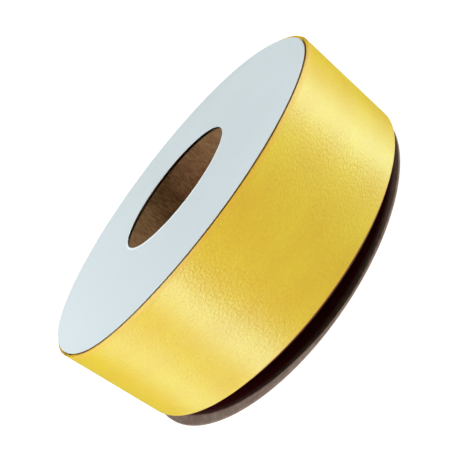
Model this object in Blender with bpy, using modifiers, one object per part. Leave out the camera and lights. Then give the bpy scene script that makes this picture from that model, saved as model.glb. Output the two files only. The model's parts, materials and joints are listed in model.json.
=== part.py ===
"""Roll of satin ribbon wound on a cardboard reel.

The reel is a spiral-wound paper tube with a card disc glued on each end. The ribbon is one long strip:
its inner end is taped to the tube, its turns make the pack, the last turn lies loose around them, and its
free end is held down by a small tab and lifts off the roll.

Units are metres. The origin is on the tube's axis at the back disc's outer face, and +Z runs along the
axis to the white front disc. The free end lies in the +X +Y quarter.
"""

import math

import bpy

# Driving dimensions
RIBBON_WIDTH = 0.038
ROLL_RADIUS = 0.0687
REEL_HEIGHT = 0.0467
DISC_RADIUS = 0.0677
BORE_RADIUS = 0.0271
GAP = 0.0003

# Core tube: three plies of paper, from the bore outwards
CORE_RADIUS = BORE_RADIUS + 0.0005
LINER_THICKNESS = 0.0004
WALL_THICKNESS = 0.0012
OVERWRAP_THICKNESS = 0.0004

# Discs
BACK_THICKNESS = 0.0008
BOARD_THICKNESS = 0.0006
FACING_THICKNESS = 0.0002
DISH_DEPTH = 0.0010
DISH_RADIUS = 0.058

# Glue between each disc and the tube's end
GLUE_THICKNESS = 0.0002
GLUE_INSET = 0.0006

# Ribbon
FRONT_LIP_DROP = 0.0007
TURN_THICKNESS = 0.0006
TAIL_THICKNESS = 0.0003
TAIL_FREE_ANGLE = math.radians(19)
TAIL_ROOT_ANGLE = math.radians(62)

# Tape on the ribbon's inner end, and the tab on its free end
TAPE_THICKNESS = 0.0002
TAPE_WIDTH = 0.030
TAPE_SPAN = math.radians(34)
TAB_THICKNESS = 0.0002
TAB_WIDTH = 0.019
TAB_SPAN = math.radians(15)
TAB_OVERHANG = math.radians(6)

# Facets round a full turn
FINE_STEPS = 96
CORE_STEPS = 72
ARC_STEP = math.radians(3)

COLLECTION_NAME = "satin_ribbon_roll"


def clear_scene():
    for thing in list(bpy.data.objects):
        bpy.data.objects.remove(thing)


def material(name, color, roughness):
    made = bpy.data.materials.new(name)
    made.use_nodes = True
    shader = made.node_tree.nodes["Principled BSDF"]
    shader.inputs["Base Color"].default_value = (*color, 1.0)
    shader.inputs["Roughness"].default_value = roughness
    shader.inputs["Metallic"].default_value = 0.0
    return made


def add_object(name, data, parent, finish):
    made = bpy.data.objects.new(name, data)
    bpy.data.collections[COLLECTION_NAME].objects.link(made)
    made.parent = parent
    made.data.materials.append(finish)
    return made


def add_empty(name, location):
    made = bpy.data.objects.new(name, None)
    made.location = location
    bpy.data.collections[COLLECTION_NAME].objects.link(made)
    return made


def turned(name, profile, steps, parent, finish):
    """A full ring from a closed (radius, height) profile that runs down its outer side."""
    mesh = bpy.data.meshes.new(name)
    count = len(profile)
    points = [(radius, 0.0, height) for radius, height in profile]
    mesh.from_pydata(points, [(i, (i + 1) % count) for i in range(count)], [])
    made = add_object(name, mesh, parent, finish)
    screw = made.modifiers.new("Turn", "SCREW")
    screw.axis = "Z"
    screw.angle = math.tau
    screw.steps = steps
    screw.render_steps = steps
    screw.use_merge_vertices = True
    screw.merge_threshold = 0.00001
    screw.use_smooth_shade = True
    return made


def tube_profile(inner, outer, bottom, top):
    return [(outer, top), (outer, bottom), (inner, bottom), (inner, top)]


def add_outline(curve, points):
    spline = curve.splines.new("POLY")
    spline.points.add(len(points) - 1)
    for point, (x, y) in zip(spline.points, points):
        point.co = (x, y, 0.0, 1.0)
    spline.use_cyclic_u = True


def flat_piece(name, outlines, bottom, top, parent, finish):
    """A plate between two heights, cut to the given outlines, where an inner outline is a hole."""
    curve = bpy.data.curves.new(name, "CURVE")
    curve.dimensions = "2D"
    curve.fill_mode = "BOTH"
    curve.extrude = (top - bottom) / 2
    for points in outlines:
        add_outline(curve, points)
    made = add_object(name, curve, parent, finish)
    made.location.z = (bottom + top) / 2
    return made


def circle(radius, steps):
    turn = math.tau / steps
    return [(radius * math.cos(i * turn), radius * math.sin(i * turn)) for i in range(steps)]


def arc_band(inner, outer, start, end):
    """Outline of a strip that is bent to a radius, between two angles."""
    count = max(2, round((end - start) / ARC_STEP))
    angles = [start + (end - start) * i / count for i in range(count + 1)]
    out = [(outer * math.cos(a), outer * math.sin(a)) for a in angles]
    back = [(inner * math.cos(a), inner * math.sin(a)) for a in reversed(angles)]
    return out + back


def dished(inner, outer, thickness, top):
    """Profile of a disc that is flat near its rim and dips a little towards its hole."""
    return [
        (outer, top),
        (outer, top - thickness),
        (DISH_RADIUS, top - thickness),
        (inner, top - thickness - DISH_DEPTH),
        (inner, top - DISH_DEPTH),
        (DISH_RADIUS, top),
    ]


def pack_profile(inner, outer, top):
    """Profile of the wound turns, whose inner turns are pushed back by the dished disc."""
    bottom = top - RIBBON_WIDTH
    push = DISH_DEPTH * (DISH_RADIUS - inner) / (DISH_RADIUS - BORE_RADIUS)
    return [
        (outer, top),
        (outer, bottom),
        (DISH_RADIUS, bottom),
        (inner, bottom - push),
        (inner, top - push),
        (DISH_RADIUS, top),
    ]


def build_core(reel, bottom, top):
    kraft = material("kraft_liner", (0.27, 0.17, 0.10), 0.85)
    chipboard = material("chipboard", (0.30, 0.22, 0.15), 0.9)
    overwrap = material("kraft_overwrap", (0.30, 0.19, 0.11), 0.85)
    wall_inner = CORE_RADIUS + LINER_THICKNESS + GAP
    wall_outer = wall_inner + WALL_THICKNESS
    overwrap_inner = wall_outer + GAP
    core_outer = overwrap_inner + OVERWRAP_THICKNESS
    plies = [
        ("core_liner_ply", CORE_RADIUS, CORE_RADIUS + LINER_THICKNESS, kraft),
        ("core_wall", wall_inner, wall_outer, chipboard),
        ("core_overwrap_ply", overwrap_inner, core_outer, overwrap),
    ]
    for name, inner, outer, finish in plies:
        turned(name, tube_profile(inner, outer, bottom, top), CORE_STEPS, reel, finish)
    return core_outer


def build_front_disc(reel):
    board = material("disc_board", (0.24, 0.12, 0.06), 0.9)
    paper = material("white_facing", (0.68, 0.72, 0.74), 0.55)
    board_top = REEL_HEIGHT - FACING_THICKNESS - GAP
    facing_profile = dished(BORE_RADIUS, DISC_RADIUS, FACING_THICKNESS, REEL_HEIGHT)
    board_profile = dished(BORE_RADIUS, DISC_RADIUS, BOARD_THICKNESS, board_top)
    turned("front_facing", facing_profile, FINE_STEPS, reel, paper)
    turned("front_disc", board_profile, FINE_STEPS, reel, board)
    return board_top - BOARD_THICKNESS


def build_back_disc(reel):
    """The back disc is the same size as the front one, and lies flat."""
    board = material("back_board", (0.22, 0.15, 0.13), 0.9)
    outlines = [
        circle(DISC_RADIUS, FINE_STEPS),
        circle(BORE_RADIUS, CORE_STEPS),
    ]
    flat_piece("back_disc", outlines, 0.0, BACK_THICKNESS, reel, board)


def build_glue(reel, core_outer, core_bottom, core_top):
    glue = material("dried_glue", (0.17, 0.09, 0.04), 0.4)
    inner = CORE_RADIUS + GLUE_INSET
    outer = core_outer - GLUE_INSET
    beads = [
        ("back_glue_ring", core_bottom - GAP - GLUE_THICKNESS),
        ("front_glue_ring", core_top + GAP),
    ]
    for name, bottom in beads:
        profile = tube_profile(inner, outer, bottom, bottom + GLUE_THICKNESS)
        turned(name, profile, CORE_STEPS, reel, glue)


def build_start_tape(reel, core_outer, ribbon_bottom):
    tape = material("paper_tape", (0.62, 0.50, 0.30), 0.6)
    inner = core_outer + GAP
    outer = inner + TAPE_THICKNESS
    bottom = ribbon_bottom + (RIBBON_WIDTH - TAPE_WIDTH) / 2
    outline = arc_band(inner, outer, -TAPE_SPAN / 2, TAPE_SPAN / 2)
    flat_piece("ribbon_start_tape", [outline], bottom, bottom + TAPE_WIDTH, reel, tape)
    return outer


def build_ribbon(reel, tail_hinge, inside_radius, disc_underside):
    satin = material("yellow_satin", (0.80, 0.58, 0.10), 0.35)
    pack_top = disc_underside - GAP
    turn_inner = ROLL_RADIUS - TURN_THICKNESS
    pack = pack_profile(inside_radius, turn_inner - GAP, pack_top)
    turned("ribbon_pack", pack, FINE_STEPS, reel, satin)

    lip_top = REEL_HEIGHT - FRONT_LIP_DROP
    lip_bottom = lip_top - RIBBON_WIDTH
    last_turn = tube_profile(turn_inner, ROLL_RADIUS, lip_bottom, lip_top)
    turned("ribbon_outer_turn", last_turn, FINE_STEPS, reel, satin)

    tail_inner = ROLL_RADIUS + GAP
    tail_outer = tail_inner + TAIL_THICKNESS
    outline = arc_band(tail_inner, tail_outer, TAIL_FREE_ANGLE, TAIL_ROOT_ANGLE)
    tail = flat_piece("ribbon_tail", [outline], lip_bottom, lip_top, None, satin)
    hang_on_hinge(tail, tail_hinge)

    tab_finish = material("tail_tab", (0.80, 0.72, 0.45), 0.25)
    tab_inner = tail_outer + GAP
    tab_start = TAIL_FREE_ANGLE - TAB_OVERHANG
    outline = arc_band(tab_inner, tab_inner + TAB_THICKNESS, tab_start, tab_start + TAB_SPAN)
    tab_bottom = (lip_top + lip_bottom - TAB_WIDTH) / 2
    tab = flat_piece("tail_tab", [outline], tab_bottom, tab_bottom + TAB_WIDTH, None, tab_finish)
    hang_on_hinge(tab, tail_hinge)


def hang_on_hinge(piece, hinge):
    piece.parent = hinge
    piece.location.x -= hinge.location.x
    piece.location.y -= hinge.location.y


def build_roll():
    collection = bpy.data.collections.new(COLLECTION_NAME)
    bpy.context.scene.collection.children.link(collection)
    hinge_radius = ROLL_RADIUS + GAP + TAIL_THICKNESS / 2
    hinge_x = hinge_radius * math.cos(TAIL_ROOT_ANGLE)
    hinge_y = hinge_radius * math.sin(TAIL_ROOT_ANGLE)
    reel = add_empty("reel_axis", (0.0, 0.0, 0.0))
    tail_hinge = add_empty("tail_hinge", (hinge_x, hinge_y, 0.0))

    disc_underside = build_front_disc(reel)
    build_back_disc(reel)
    core_bottom = BACK_THICKNESS + GAP + GLUE_THICKNESS + GAP
    core_top = disc_underside - DISH_DEPTH - GAP - GLUE_THICKNESS - GAP
    core_outer = build_core(reel, core_bottom, core_top)
    build_glue(reel, core_outer, core_bottom, core_top)
    ribbon_bottom = disc_underside - GAP - RIBBON_WIDTH
    tape_outer = build_start_tape(reel, core_outer, ribbon_bottom)
    build_ribbon(reel, tail_hinge, tape_outer + GAP, disc_underside)


clear_scene()
build_roll()
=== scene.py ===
"""Looks of the satin ribbon roll: yellow satin on a cardboard reel, lit like a studio product picture.

Units are metres. The roll stands on its back disc, +Z up, and its axis is the world's Z axis. Azimuths
are measured round that axis from the side that faces the camera (-Y), and grow towards +X.
"""

import json
import math
import random

import bpy
from mathutils import Matrix, Vector, noise


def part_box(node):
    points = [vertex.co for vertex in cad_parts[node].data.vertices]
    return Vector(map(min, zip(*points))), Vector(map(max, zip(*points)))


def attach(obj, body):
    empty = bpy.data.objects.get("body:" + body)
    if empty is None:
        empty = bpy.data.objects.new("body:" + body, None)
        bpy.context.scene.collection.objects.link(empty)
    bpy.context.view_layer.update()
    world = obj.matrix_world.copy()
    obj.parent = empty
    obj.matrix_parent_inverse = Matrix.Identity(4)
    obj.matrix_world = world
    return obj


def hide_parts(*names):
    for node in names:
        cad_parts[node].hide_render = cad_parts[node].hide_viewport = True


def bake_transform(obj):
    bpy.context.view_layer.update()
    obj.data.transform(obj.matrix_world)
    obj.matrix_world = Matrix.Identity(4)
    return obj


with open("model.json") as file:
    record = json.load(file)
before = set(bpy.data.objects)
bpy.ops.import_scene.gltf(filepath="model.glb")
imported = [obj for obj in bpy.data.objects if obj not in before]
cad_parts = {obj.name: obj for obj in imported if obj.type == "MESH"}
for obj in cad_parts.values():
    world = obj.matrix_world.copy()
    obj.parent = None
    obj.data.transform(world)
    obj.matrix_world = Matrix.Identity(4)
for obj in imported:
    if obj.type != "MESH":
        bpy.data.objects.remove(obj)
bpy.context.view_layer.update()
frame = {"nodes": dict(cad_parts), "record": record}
random.seed(11)

MM = 0.001

# Places and sizes, all read from the CAD nodes and the record
FACING_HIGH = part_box("front_facing")[1]
BACK_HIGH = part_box("back_disc")[1]
PACK_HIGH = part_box("ribbon_pack")[1]
TURN_LOW, TURN_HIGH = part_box("ribbon_outer_turn")
LINER_LOW, LINER_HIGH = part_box("core_liner_ply")
WALL_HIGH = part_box("core_wall")[1]
TAB_LOW, TAB_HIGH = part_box("tail_tab")
HINGE = frame["record"]["behaviour"]["joints"][0]

REEL_TOP = FACING_HIGH.z
DISC_RADIUS = FACING_HIGH.x
ROLL_RADIUS = TURN_HIGH.x
RIBBON_WIDTH = TURN_HIGH.z - TURN_LOW.z + 0.4 * MM
LIP_TOP = TURN_HIGH.z + 0.5 * MM
ROOT_ANGLE = math.atan2(HINGE["pos_m"][1], HINGE["pos_m"][0])

# Sizes the CAD boxes don't give
BORE_RADIUS = 27.1 * MM
PACK_INNER_RADIUS = 30.9 * MM
DISH_DEPTH = 1.4 * MM
PAPER_THICKNESS = 0.12 * MM
FREE_ANGLE = math.radians(19)
CLOTH_THICKNESS = 0.13 * MM
TURN_PITCH = 0.15 * MM
VISIBLE_TURNS = 5
TURN_STEPS = 240
FRONT_SELVAGE = 1.1 * MM
BACK_SELVAGE = 0.5 * MM
HOLE_SHIFT = 0.4 * MM
RIM_SHIFT = -0.25 * MM
RIM_TRIM = 0.05 * MM
CURL_HEIGHT = 6.6 * MM


# ---------------------------------------------------------------- mesh helpers

def polar(angle, radius, z):
    return (radius * math.cos(angle), radius * math.sin(angle), z)


def azimuth_of(angle):
    """Azimuth from the camera's side, in degrees from -180 to 180, of an angle from +X."""
    return (math.degrees(angle) + 270) % 360 - 180


def smoothstep(low, high, value):
    t = min(1.0, max(0.0, (value - low) / (high - low)))
    return t * t * (3 - 2 * t)


def wave_noise(angle, height, seed, scale=1.0):
    """Smooth noise that joins up with itself after a full turn."""
    return noise.noise(Vector((math.cos(angle) * scale, math.sin(angle) * scale, height + seed)))


def make_object(name, points, faces, finish, uvs=None, sharp_degrees=35):
    mesh = bpy.data.meshes.new(name)
    mesh.from_pydata(points, [], faces)
    mesh.update()
    if uvs:
        layer = mesh.uv_layers.new(name="Cloth")
        for loop in mesh.loops:
            layer.data[loop.index].uv = uvs[loop.vertex_index]
    mesh.shade_smooth()
    mesh.set_sharp_from_angle(angle=math.radians(sharp_degrees))
    mesh.materials.append(finish)
    made = bpy.data.objects.new(name, mesh)
    bpy.context.scene.collection.objects.link(made)
    return made


def slide(made):
    """Card is cut and punched by eye: the front disc's hole and rim each sit a little off the axis."""
    for vertex in made.data.vertices:
        radius = math.hypot(vertex.co.x, vertex.co.y)
        out = smoothstep(BORE_RADIUS, DISC_RADIUS, radius)
        vertex.co.x += HOLE_SHIFT + (RIM_SHIFT - HOLE_SHIFT) * out


def turned_piece(name, profile, steps, finish, shape=None, sharp_degrees=35):
    """A ring from a closed (radius, z) profile that runs down its outer side.

    shape(angle, radius, z) may bend it.
    """
    points, uvs, faces = [], [], []
    count = len(profile)
    for i in range(steps):
        angle = math.tau * i / steps
        for radius, z in profile:
            r, height = shape(angle, radius, z) if shape else (radius, z)
            points.append(polar(angle, r, height))
            uvs.append((angle * radius, z))
    for i in range(steps):
        a, b = i * count, (i + 1) % steps * count
        for j in range(count):
            k = (j + 1) % count
            faces.append((a + j, a + k, b + k, b + j))
    return make_object(name, points, faces, finish, uvs, sharp_degrees)


def dip(radius):
    """How far the front disc dips towards its hole."""
    return DISH_DEPTH * smoothstep(DISC_RADIUS, BORE_RADIUS - 12 * MM, radius)


def lobe(degrees, middle, width):
    """A smooth bump from 0 to 1 round the roll, highest at middle; all in degrees."""
    away = (degrees - middle + 180) % 360 - 180
    return math.exp(-((away / width) ** 2))


def sag(angle, radius):
    """The card disc and the ribbon under it sag a little at the left front and at the right."""
    degrees = math.degrees(angle)
    depth = 1.1 * MM * lobe(degrees, -145, 28) + 0.9 * MM * lobe(degrees, -8, 30)
    return depth * smoothstep(BORE_RADIUS, ROLL_RADIUS, radius)


# ---------------------------------------------------------------- material helpers

class Nodes:
    """Short calls for building one material's node tree."""

    def __init__(self, name):
        self.material = bpy.data.materials.new(name)
        self.material.use_nodes = True
        self.tree = self.material.node_tree
        self.shader = self.tree.nodes["Principled BSDF"]

    def add(self, kind, **settings):
        node = self.tree.nodes.new("ShaderNode" + kind)
        for key, value in settings.items():
            setattr(node, key, value)
        return node

    def link(self, source, target):
        self.tree.links.new(source, target)

    def set(self, **sockets):
        for key, value in sockets.items():
            self.shader.inputs[key.replace("_", " ")].default_value = value

    def coordinates(self, scale, source="Object"):
        mapping = self.add("Mapping")
        mapping.inputs["Scale"].default_value = scale
        self.link(self.where(source), mapping.inputs["Vector"])
        return mapping.outputs["Vector"]

    def where(self, source):
        """Unscaled coordinates: Cloth is the UV layer in metres, others are texture coordinates."""
        if source == "Cloth":
            return self.add("UVMap", uv_map="Cloth").outputs["UV"]
        return self.add("TexCoord").outputs[source]

    def along(self, source, axis):
        """One part of unscaled coordinates."""
        split = self.add("SeparateXYZ")
        self.link(self.where(source), split.inputs[0])
        return split.outputs[axis]

    def noise(self, vector, detail=2.0, roughness=0.5):
        node = self.add("TexNoise")
        node.inputs["Scale"].default_value = 1.0
        node.inputs["Detail"].default_value = detail
        node.inputs["Roughness"].default_value = roughness
        self.link(vector, node.inputs["Vector"])
        return node.outputs["Fac"]

    def spread(self, value, low, high, out_low=0.0, out_high=1.0):
        node = self.add("MapRange")
        ends = (low, high, out_low, out_high)
        for key, number in zip(("From Min", "From Max", "To Min", "To Max"), ends):
            node.inputs[key].default_value = number
        self.link(value, node.inputs["Value"])
        return node.outputs["Result"]

    def math(self, operation, a, b=0.0):
        node = self.add("Math", operation=operation)
        for socket, value in zip(node.inputs, (a, b)):
            if isinstance(value, (int, float)):
                socket.default_value = value
            else:
                self.link(value, socket)
        return node.outputs["Value"]

    def mix(self, factor, a, b):
        node = self.add("Mix", data_type="RGBA")
        for socket, value in ((node.inputs[0], factor), (node.inputs[6], a), (node.inputs[7], b)):
            if isinstance(value, tuple):
                socket.default_value = (*value, 1.0)
            else:
                self.link(value, socket)
        return node.outputs[2]

    def distance(self):
        """Distance from the roll's axis."""
        flat = self.add("VectorMath", operation="MULTIPLY")
        flat.inputs[1].default_value = (1, 1, 0)
        self.link(self.where("Object"), flat.inputs[0])
        length = self.add("VectorMath", operation="LENGTH")
        self.link(flat.outputs["Vector"], length.inputs[0])
        return length.outputs["Value"]

    def bump(self, height, distance, strength=1.0, after=None):
        node = self.add("Bump")
        node.inputs["Distance"].default_value = distance
        node.inputs["Strength"].default_value = strength
        self.link(height, node.inputs["Height"])
        if after:
            self.link(after, node.inputs["Normal"])
        return node.outputs["Normal"]

    def finish(self, color, normal=None, roughness=None):
        self.link(color, self.shader.inputs["Base Color"])
        if normal:
            self.link(normal, self.shader.inputs["Normal"])
        if roughness:
            self.link(roughness, self.shader.inputs["Roughness"])
        return self.material


# ---------------------------------------------------------------- materials

def satin(name, deep, light, selvage, outside=None):
    """Woven satin: long warp floats round the roll, so the gloss runs in bands across the ribbon.

    outside is the colour of the outermost turns on the front face of the pack.
    """
    n = Nodes(name)
    streaks = n.noise(n.coordinates((90, 4200, 1), "Cloth"), 3.0, 0.6)
    grain = n.noise(n.coordinates((1000, 1500, 1), "Cloth"), 3.0, 0.65)
    clouds = n.noise(n.coordinates((60, 110, 1), "Cloth"), 3.0)
    waves = n.noise(n.coordinates((22, 30, 1), "Cloth"), 1.0)
    tone = n.math("ADD", n.math("MULTIPLY", streaks, 0.2), n.math("MULTIPLY", grain, 0.5))
    tone = n.math("ADD", tone, n.math("MULTIPLY", clouds, 0.3))
    color = n.mix(n.spread(tone, 0.36, 0.64), deep, light)
    across = n.along("Cloth", "Y")
    front_start = RIBBON_WIDTH / 2 - FRONT_SELVAGE
    back_start = BACK_SELVAGE - RIBBON_WIDTH / 2
    front = n.spread(across, front_start, front_start + 0.3 * MM)
    back = n.spread(across, back_start, back_start - 0.2 * MM)
    edge = n.math("MAXIMUM", front, back)
    color = n.mix(edge, color, selvage)
    if outside:
        near_wall = n.spread(n.distance(), 0.965 * ROLL_RADIUS, 0.972 * ROLL_RADIUS)
        in_front = n.spread(n.along("Object", "Z"), 0.4 * REEL_TOP, 0.6 * REEL_TOP)
        color = n.mix(n.math("MULTIPLY", near_wall, in_front), color, outside)
    threads = n.add("TexWave", wave_type="BANDS", bands_direction="Y", wave_profile="SIN")
    threads.inputs["Scale"].default_value = 1.0
    threads.inputs["Distortion"].default_value = 0.6
    threads.inputs["Detail"].default_value = 1.0
    n.link(n.coordinates((300, 2200, 1), "Cloth"), threads.inputs["Vector"])
    normal = n.bump(threads.outputs["Fac"], 0.006 * MM, 0.5)
    normal = n.bump(grain, 0.12 * MM, 1.0, normal)
    normal = n.bump(clouds, 0.35 * MM, 0.5, normal)
    normal = n.bump(waves, 1.2 * MM, 0.5, normal)
    speckle = n.noise(n.coordinates((1500, 1700, 1), "Cloth"), 2.0, 0.6)
    sparkle = n.math("ADD", n.math("MULTIPLY", grain, 0.55), n.math("MULTIPLY", speckle, 0.45))
    rough = n.spread(sparkle, 0.28, 0.70, 0.24, 0.78)
    rough = n.math("MAXIMUM", rough, n.math("MULTIPLY", edge, 0.8))
    tangent = n.add("Tangent", direction_type="RADIAL", axis="Z")
    n.link(tangent.outputs["Tangent"], n.shader.inputs["Tangent"])
    n.set(Anisotropic=1.0, Anisotropic_Rotation=0.25, Specular_IOR_Level=1.0, IOR=2.05)
    n.set(Sheen_Weight=0.08, Sheen_Roughness=0.45)
    n.shader.inputs["Sheen Tint"].default_value = (0.6, 1.0, 0.6, 1.0)
    n.shader.inputs["Specular Tint"].default_value = (0.66, 1.0, 0.93, 1.0)
    return n.finish(color, normal, rough)


def board(name, base, fleck, painted_shade=None):
    """Chipboard with short fibres and dark flecks.

    The last colour, if given, is painted shade: the face that looks up is darkened to it in from its rim,
    where the ribbon pack above shades it.
    """
    n = Nodes(name)
    fibres = n.noise(n.coordinates((900, 900, 900)), 4.0, 0.7)
    chips = n.noise(n.coordinates((420, 420, 420)), 2.0, 0.6)
    blotches = n.noise(n.coordinates((90, 90, 90)), 3.0)
    flecks = n.noise(n.coordinates((2600, 2600, 2600)), 1.0)
    pale = tuple(min(1, c * 1.22) for c in base)
    color = n.mix(n.spread(fibres, 0.3, 0.7), tuple(c * 0.76 for c in base), pale)
    color = n.mix(n.spread(chips, 0.4, 0.66, 0.0, 0.5), color, tuple(c * 0.6 for c in base))
    color = n.mix(n.spread(blotches, 0.35, 0.75, 0.0, 0.35), color, fleck)
    color = n.mix(n.spread(flecks, 0.64, 0.74, 0.0, 0.6), color, fleck)
    # Painted shade: darken the up-facing face in from its rim, under the ribbon pack.
    if painted_shade:
        looks_up = n.spread(n.along("Normal", "Z"), 0.2, 0.6)
        in_from_rim = n.spread(n.distance(), 0.985 * DISC_RADIUS, 0.945 * DISC_RADIUS)
        deep = n.mix(n.spread(fibres, 0.35, 0.65), tuple(c * 0.6 for c in painted_shade), painted_shade)
        color = n.mix(n.math("MULTIPLY", looks_up, in_from_rim), color, deep)
    normal = n.bump(fibres, 0.06 * MM, 0.6)
    n.set(Roughness=0.95, Specular_IOR_Level=0.05)
    return n.finish(color, normal)


def kraft(name, base, dark):
    """Kraft paper: long faint fibres, and a soft mottle."""
    n = Nodes(name)
    fibres = n.noise(n.coordinates((1300, 1300, 420)), 4.0, 0.65)
    mottle = n.noise(n.coordinates((150, 150, 150)), 3.0)
    color = n.mix(n.spread(fibres, 0.32, 0.68), dark, base)
    color = n.mix(n.spread(mottle, 0.3, 0.75, 0.0, 0.45), color, tuple(c * 0.75 for c in dark))
    normal = n.bump(fibres, 0.05 * MM, 0.5)
    n.set(Roughness=0.7, Specular_IOR_Level=0.35, Sheen_Weight=0.05)
    return n.finish(color, normal)


def white_paper(name, base):
    """Smooth white paper laminated on board, with a faint tooth. Painted light makes it a little paler
    towards -X, the side the key lamp comes from, and a painted highlight lightens a thin ring at the hole's
    cut edge.
    """
    n = Nodes(name)
    tooth = n.noise(n.coordinates((1800, 1800, 1800)), 3.0, 0.6)
    clouds = n.noise(n.coordinates((38, 38, 38)), 2.0)
    shade = tuple(c * 0.965 for c in base)
    color = n.mix(n.spread(clouds, 0.3, 0.7), shade, base)
    color = n.mix(n.spread(tooth, 0.3, 0.7, 0.0, 0.18), color, tuple(c * 0.93 for c in base))
    # Painted light: paler towards -X, where the key lamp comes from.
    painted_light_minus_x = n.spread(n.along("Object", "X"), 0.0, -DISC_RADIUS)
    color = n.mix(painted_light_minus_x, color, tuple(c * 1.14 for c in base))
    # Painted highlight: a thin ring at the hole's cut edge is lightened.
    cut = n.spread(n.distance(), BORE_RADIUS + 0.55 * MM, BORE_RADIUS + 0.4 * MM)
    color = n.mix(cut, color, tuple(c * 1.28 for c in base))
    normal = n.bump(tooth, 0.02 * MM, 0.35)
    rough = n.spread(tooth, 0.3, 0.7, 0.5, 0.62)
    n.set(Specular_IOR_Level=0.4)
    return n.finish(color, normal, rough)


def clear_film(name, base):
    """Thin clear adhesive film with a few rubbed bubbles under it."""
    n = Nodes(name)
    bubbles = n.noise(n.coordinates((700, 700, 700)), 3.0, 0.55)
    color = n.mix(n.spread(bubbles, 0.45, 0.7), base, tuple(min(1, c * 1.12) for c in base))
    normal = n.bump(bubbles, 0.04 * MM, 0.5)
    rough = n.spread(bubbles, 0.35, 0.7, 0.12, 0.4)
    n.set(Alpha=0.38, Specular_IOR_Level=0.6)
    return n.finish(color, normal, rough)


def dried_glue(name, base):
    n = Nodes(name)
    lumps = n.noise(n.coordinates((520, 520, 520)), 2.0)
    color = n.mix(n.spread(lumps, 0.3, 0.7), tuple(c * 0.8 for c in base), base)
    n.set(Coat_Weight=0.3, Coat_Roughness=0.25)
    return n.finish(color, n.bump(lumps, 0.1 * MM, 0.6), n.spread(lumps, 0.3, 0.7, 0.3, 0.5))


def crepe_tape(name, base):
    n = Nodes(name)
    creases = n.noise(n.coordinates((400, 400, 3200)), 3.0)
    color = n.mix(n.spread(creases, 0.3, 0.7), tuple(c * 0.88 for c in base), base)
    n.set(Specular_IOR_Level=0.3)
    return n.finish(color, n.bump(creases, 0.05 * MM, 0.6), n.spread(creases, 0.3, 0.7, 0.6, 0.75))


def pale_floor(name, albedo, glow):
    """Studio white. The glow stands for the lamps that keep a product backdrop free of shadows."""
    n = Nodes(name)
    dust = n.noise(n.coordinates((12, 12, 12)), 2.0)
    n.set(Roughness=0.9, Specular_IOR_Level=0.1, Emission_Strength=glow)
    n.shader.inputs["Emission Color"].default_value = (1.0, 1.0, 1.0, 1.0)
    return n.finish(n.mix(n.spread(dust, 0.3, 0.7), (albedo * 0.98,) * 3, (albedo,) * 3))


# ---------------------------------------------------------------- ribbon

def spiral_radius(turned):
    """Radius of the cloth's middle after an angle turned from the free edge, winding inwards."""
    return ROLL_RADIUS + CLOTH_THICKNESS / 2 + TURN_PITCH / 2 - TURN_PITCH * turned / math.tau


def front_edge(angle, turns_in):
    """Height of a turn's front selvage.

    It sags with the disc and runs low at the far right and at the left, and the outermost turns have
    slipped back a little along the right side.
    """
    slipped = smoothstep(5, 80, azimuth_of(angle)) * smoothstep(178, 120, azimuth_of(angle))
    outermost = max(0.0, 1.0 - turns_in / 3.0)
    wander = 0.12 * MM * wave_noise(angle, turns_in * 0.9, 3.1, 1.3) - 0.1 * MM
    low = 0.6 * MM * (lobe(math.degrees(angle), 42, 34) + lobe(math.degrees(angle), 182, 24))
    return LIP_TOP - sag(angle, ROLL_RADIUS) - low - 0.9 * MM * slipped * outermost + wander


def sheet_faces(steps, count):
    """Faces of a thin closed sheet.

    Each of its steps + 1 sections has count points on one side, then count on the other.
    """
    ring = 2 * count
    faces = []
    for i in range(steps):
        a, b = i * ring, (i + 1) * ring
        for j in range(count - 1):
            faces.append((a + j, a + j + 1, b + j + 1, b + j))
            faces.append((a + count + j + 1, a + count + j, b + count + j, b + count + j + 1))
        faces.append((a + count, a, b, b + count))
        faces.append((a + count - 1, a + ring - 1, b + ring - 1, b + count - 1))
    for a, flip in ((0, False), (steps * ring, True)):
        for j in range(count - 1):
            quad = (a + j, a + count + j, a + count + j + 1, a + j + 1)
            faces.append(quad[::-1] if flip else quad)
    return faces


def strip(name, start, end, finish, steps, across=14):
    """The ribbon between two angles turned from its free edge, as a thin closed sheet with selvages."""
    stations = [0.0, 0.012, 0.03]
    stations += [0.03 + 0.94 * (j + 1) / (across + 1) for j in range(across)]
    stations += [0.97, 0.988, 1.0]
    points, uvs = [], []
    for i in range(steps + 1):
        turned = start + (end - start) * i / steps
        angle = FREE_ANGLE + turned
        radius = spiral_radius(turned)
        top = front_edge(angle, turned / math.tau)
        for side in (1, -1):
            for t in stations:
                near_edge = min(t, 1 - t) * RIBBON_WIDTH
                half = CLOTH_THICKNESS / 2 * (1.0 if near_edge > 0.4 * MM else 0.75)
                swell = 0.03 * MM * wave_noise(angle, t * 1.4, 8.0, 2.0)
                points.append(polar(angle, radius + side * half + swell, top - t * RIBBON_WIDTH))
                uvs.append((turned * ROLL_RADIUS, (0.5 - t) * RIBBON_WIDTH))
    faces = sheet_faces(steps, len(stations))
    return make_object(name, points, faces, finish, uvs, 50)


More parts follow.
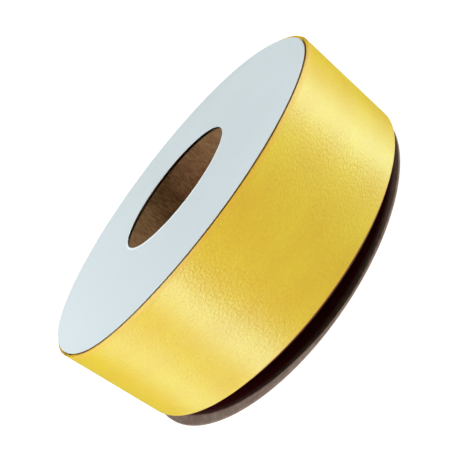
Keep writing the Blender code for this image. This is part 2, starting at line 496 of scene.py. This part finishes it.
def wound_turns(finish):
    """The pack: its two faces are the selvages of hundreds of turns, some a little proud of others."""
    outer = spiral_radius(VISIBLE_TURNS * math.tau) - TURN_PITCH
    selvages = 84
    top_steps, bottom_steps = [], []
    for k in range(selvages):
        radius = outer - (outer - PACK_INNER_RADIUS) * k / (selvages - 1)
        top = PACK_HIGH.z - dip(radius) + random.uniform(-0.16, 0.0) * MM
        top_steps.append((radius, top))
        bottom_steps.append((radius, top - RIBBON_WIDTH + 0.1 * MM))
    profile = bottom_steps + top_steps[::-1]

    def shape(angle, radius, z):
        """The front face sags with the disc, but its outermost turns stay up at the right."""
        drop = 0.0
        if z > LIP_TOP - RIBBON_WIDTH / 2:
            outermost = smoothstep(outer - 0.8 * MM, outer - 0.5 * MM, radius)
            drop = sag(angle, radius) - 0.9 * MM * outermost * lobe(math.degrees(angle), -8, 24)
        return radius, z - drop + 0.1 * MM * wave_noise(angle, radius * 900, 21.0, 1.2)

    return turned_piece("wound_ribbon_turns", profile, 144, finish, shape, 80)


def build_ribbon():
    light = (0.93, 0.66, 0.010)
    cloth = satin("yellow_satin", (0.86, 0.49, 0.0), light, (0.90, 0.50, 0.0))
    # Painted shade: the pack's selvage faces are yellow satin, but get dark red-brown colours for the shade
    # in the gap under and between the discs; only the outermost turns at the front keep the yellow.
    shaded_edge = (0.18, 0.025, 0.008)
    shaded_pack_satin = satin("pack_selvages_painted_shade", (0.14, 0.016, 0.008), (0.22, 0.04, 0.010), shaded_edge, light)
    pack = wound_turns(shaded_pack_satin)
    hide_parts("ribbon_pack")
    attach(pack, "reel")

    root_turned = ROOT_ANGLE - FREE_ANGLE
    last = root_turned + VISIBLE_TURNS * math.tau
    outer = strip("satin_outer_turns", root_turned, last, cloth, TURN_STEPS * VISIBLE_TURNS)
    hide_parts("ribbon_outer_turn")
    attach(outer, "reel")

    tail = strip("satin_free_end", 0.0, root_turned, cloth, 40)
    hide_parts("ribbon_tail")
    root = Vector(polar(ROOT_ANGLE, ROLL_RADIUS, 0))
    tip = Vector(polar(FREE_ANGLE, ROLL_RADIUS, 0))
    bend_end = root.lerp(tip, 0.7)
    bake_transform(tail)
    return root, bend_end


def build_tab(root, bend_end):
    """Clear film from the free end down on to the turn below it."""
    film = clear_film("clear_tab_film", (0.9, 0.8, 0.45))
    start = math.atan2(TAB_LOW.y, TAB_HIGH.x)
    end = math.atan2(TAB_HIGH.y, TAB_LOW.x)
    steps, rows = 24, 10
    thickness = 0.06 * MM
    points = []
    for i in range(steps + 1):
        angle = start + (end - start) * i / steps
        on_cloth = smoothstep(FREE_ANGLE - 0.012, FREE_ANGLE + 0.004, angle)
        surface = ROLL_RADIUS + (0.06 + 0.17 * on_cloth) * MM
        for side in (0, 1):
            for j in range(rows + 1):
                z = TAB_LOW.z + (TAB_HIGH.z - TAB_LOW.z) * j / rows
                points.append(polar(angle, surface + thickness * side, z))
    tab = make_object("clear_end_tab", points, sheet_faces(steps, rows + 1), film)
    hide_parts("tail_tab")
    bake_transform(tab)


# ---------------------------------------------------------------- reel

def rounded_rect(inner, outer, bottom, top, soft):
    """Closed profile of a plate's cross-section with softened corners, running down its outer side."""
    return [
        (outer - soft, top), (outer, top - soft), (outer, bottom + soft), (outer - soft, bottom),
        (inner + soft, bottom), (inner, bottom + soft), (inner, top - soft), (inner + soft, top),
    ]


def spread_profile(inner, outer, bottom, top, soft, parts):
    """rounded_rect with its long faces divided, finely near the hole, so that the plate can be bent.

    parts is the number of even divisions of each face.
    """
    corners = rounded_rect(inner, outer, bottom, top, soft)
    low, high = inner + soft, outer - soft
    across = [low + step * MM for step in (0.12, 0.25, 0.4, 0.6)]
    across += [low + (high - low) * i / parts for i in range(1, parts)]
    under = [(radius, bottom) for radius in reversed(across)]
    above = [(radius, top) for radius in across]
    return corners[:4] + under + corners[4:] + above


def build_front_disc():
    chip = board("front_chipboard", (0.24, 0.10, 0.045), (0.12, 0.03, 0.02))
    paper = white_paper("white_disc_paper", (0.594, 0.584, 0.631))

    def dished(angle, radius, z):
        sway = 0.05 * MM * wave_noise(angle, radius * 20, 5.0, 1.0)
        burr = 0.16 * MM * math.exp(-(((radius - BORE_RADIUS) / (0.22 * MM)) ** 2))
        return radius, z - dip(radius) - sag(angle, radius) + sway + burr

    rim = DISC_RADIUS - RIM_TRIM
    bottom = REEL_TOP - PAPER_THICKNESS
    paper_profile = spread_profile(BORE_RADIUS, rim, bottom, REEL_TOP, 0.04 * MM, 24)
    sheet = turned_piece("front_disc_paper", paper_profile, 240, paper, dished)
    slide(sheet)
    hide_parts("front_facing")
    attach(sheet, "reel")

    hole = LINER_HIGH.x + 0.7 * MM
    board_rim, board_top = rim - 0.06 * MM, bottom - 0.01 * MM
    plate_profile = spread_profile(hole, board_rim, bottom - 0.6 * MM, board_top, 0.06 * MM, 24)
    plate = turned_piece("front_disc_board", plate_profile, 240, chip, dished)
    slide(plate)
    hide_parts("front_disc")
    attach(plate, "reel")


def build_back_disc():
    # The last colour is painted shade for the face under the ribbon pack.
    chip = board("back_chipboard", (0.262, 0.182, 0.150), (0.10, 0.034, 0.032), (0.17, 0.014, 0.024))
    radius = BACK_HIGH.x
    core = WALL_HIGH.x

    def curled(angle, r, z):
        """Flat under the core, and bent up towards the ribbon at the right and the far side."""
        side = (1 - math.cos(angle + math.radians(135))) / 2
        out = max(0.0, (r - core) / (radius - core))
        spread = 1.3 * MM * lobe(math.degrees(angle), -150, 45)
        return r + spread * out, z + CURL_HEIGHT * side * out ** 1.4

    profile = spread_profile(BORE_RADIUS, radius, 0.0, BACK_HIGH.z, 0.14 * MM, 36)
    back = turned_piece("back_disc_board", profile, 240, chip, curled)
    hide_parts("back_disc")
    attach(back, "reel")


def build_core():
    liner_paper = kraft("kraft_liner", (0.38, 0.20, 0.085), (0.17, 0.055, 0.016))
    wall_paper = kraft("kraft_wall", (0.36, 0.26, 0.18), (0.26, 0.18, 0.12))
    inner = LINER_HIGH.x - 0.4 * MM
    top = REEL_TOP - DISH_DEPTH - 1.1 * MM
    seam_pitch = math.tau * inner * math.tan(math.radians(38))

    def seamed(angle, radius, z):
        """The butt seam between two turns of the liner strip, as a shallow helical groove."""
        if radius > inner + 0.1 * MM:
            return radius, z
        share = (z / seam_pitch - angle / math.tau) % 1.0
        distance = min(share, 1 - share) * seam_pitch
        groove = math.exp(-((distance / (0.35 * MM)) ** 2))
        bulge = 0.06 * MM * wave_noise(angle, z * 60, 2.0, 1.6)
        return radius + 0.18 * MM * groove + bulge, z

    bottom = LINER_LOW.z - 0.6 * MM
    rows = 110
    profile = [(LINER_HIGH.x, top), (LINER_HIGH.x, bottom)]
    profile += [(inner, bottom + (top - bottom) * i / rows) for i in range(rows + 1)]
    liner = turned_piece("kraft_liner_ply", profile, 240, liner_paper, seamed)
    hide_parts("core_liner_ply")
    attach(liner, "reel")

    wall_inner, wall_top = WALL_HIGH.x - 1.45 * MM, WALL_HIGH.z + 0.1 * MM
    wall_profile = rounded_rect(wall_inner, WALL_HIGH.x, bottom, wall_top, 0.05 * MM)
    wall = turned_piece("chipboard_wall", wall_profile, 144, wall_paper)
    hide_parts("core_wall")
    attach(wall, "reel")


def finish_carried_nodes():
    """CAD nodes whose shape is right as it is get their finished materials."""
    nodes = frame["nodes"]
    finishes = {
        "core_overwrap_ply": kraft("kraft_overwrap", (0.38, 0.26, 0.16), (0.27, 0.17, 0.10)),
        "front_glue_ring": dried_glue("front_glue", (0.17, 0.09, 0.04)),
        "back_glue_ring": dried_glue("back_glue", (0.17, 0.09, 0.04)),
        "ribbon_start_tape": crepe_tape("start_tape_paper", (0.74, 0.62, 0.40)),
    }
    for name, finish in finishes.items():
        nodes[name].data.materials.clear()
        nodes[name].data.materials.append(finish)


# ---------------------------------------------------------------- studio

def lamp(name, azimuth, elevation, softness, strength, tint):
    """A far studio light.

    strength is the light it gives a white surface that faces it, and softness is in degrees.
    """
    az, el = math.radians(azimuth), math.radians(elevation)
    away = Vector((math.sin(az) * math.cos(el), -math.cos(az) * math.cos(el), math.sin(el)))
    data = bpy.data.lights.new(name, "SUN")
    data.angle = math.radians(softness)
    data.energy = strength * math.pi
    data.color = tint
    made = bpy.data.objects.new(name, data)
    made.rotation_euler = away.to_track_quat("Z", "Y").to_euler()
    bpy.context.scene.collection.objects.link(made)
    return made


def build_stage():
    """A white floor, and white walls and a ceiling round it that are seen but light nothing."""
    half, rim, height, steps = 4.0, 3.0, 4.0, 64
    corners = [(-half, -half, 0), (half, -half, 0), (half, half, 0), (-half, half, 0)]
    floor = make_object("floor", corners, [(0, 1, 2, 3)], pale_floor("pale_floor", 0.08, 1.0))
    floor.visible_glossy = False
    ring = [polar(math.tau * i / steps, rim, z) for z in (0, height) for i in range(steps)]
    faces = [(i, (i + 1) % steps, steps + (i + 1) % steps, steps + i) for i in range(steps)]
    faces.append(tuple(range(steps, 2 * steps)))
    wall = make_object("backdrop", ring, faces, pale_floor("pale_backdrop", 0.1, 1.05))
    wall.visible_diffuse = False
    wall.visible_glossy = False
    wall.visible_transmission = False
    wall.visible_shadow = False


def build_studio():
    build_stage()
    lamp("key", -75, 60, 3.5, 0.87, (0.92, 1.0, 0.97))
    lamp("right_fill", 99, 30, 10, 0.30, (0.95, 1.0, 1.0))
    lamp("right_wash", 98, 30, 56, 0.34, (0.75, 1.0, 0.90))
    lamp("left_fill", -100, 30, 28, 0.32, (0.68, 1.0, 0.97))
    lamp("side_fill", 48, 15, 34, 0.08, (0.4, 1.0, 0.35))
    front = lamp("front_fill", 8, 1, 4, 0.37, (1.0, 0.91, 0.86))
    front.visible_glossy = False
    world = bpy.data.worlds.new("studio")
    world.use_nodes = True
    sky = world.node_tree.nodes["Background"]
    sky.inputs["Color"].default_value = (1.0, 1.0, 1.0, 1.0)
    sky.inputs["Strength"].default_value = 0.07
    bpy.context.scene.world = world
    bpy.context.scene.view_settings.view_transform = "Standard"


def build_camera():
    aim = Vector((0.0005, 0.0, 0.0209))
    distance = 0.2188
    pitch = math.radians(18.43)
    roll = math.radians(52.79)
    data = bpy.data.cameras.new("camera")
    data.lens = 46.5
    data.clip_start = 0.005
    camera = bpy.data.objects.new("camera", data)
    turn = Matrix.Rotation(math.pi / 2 - pitch, 4, "X") @ Matrix.Rotation(-roll, 4, "Z")
    back = Vector((0, -math.cos(pitch), math.sin(pitch)))
    camera.matrix_world = Matrix.Translation(aim + back * distance) @ turn
    bpy.context.scene.collection.objects.link(camera)
    bpy.context.scene.camera = camera


build_camera()
build_tab(*build_ribbon())
build_front_disc()
build_back_disc()
build_core()
finish_carried_nodes()
build_studio()
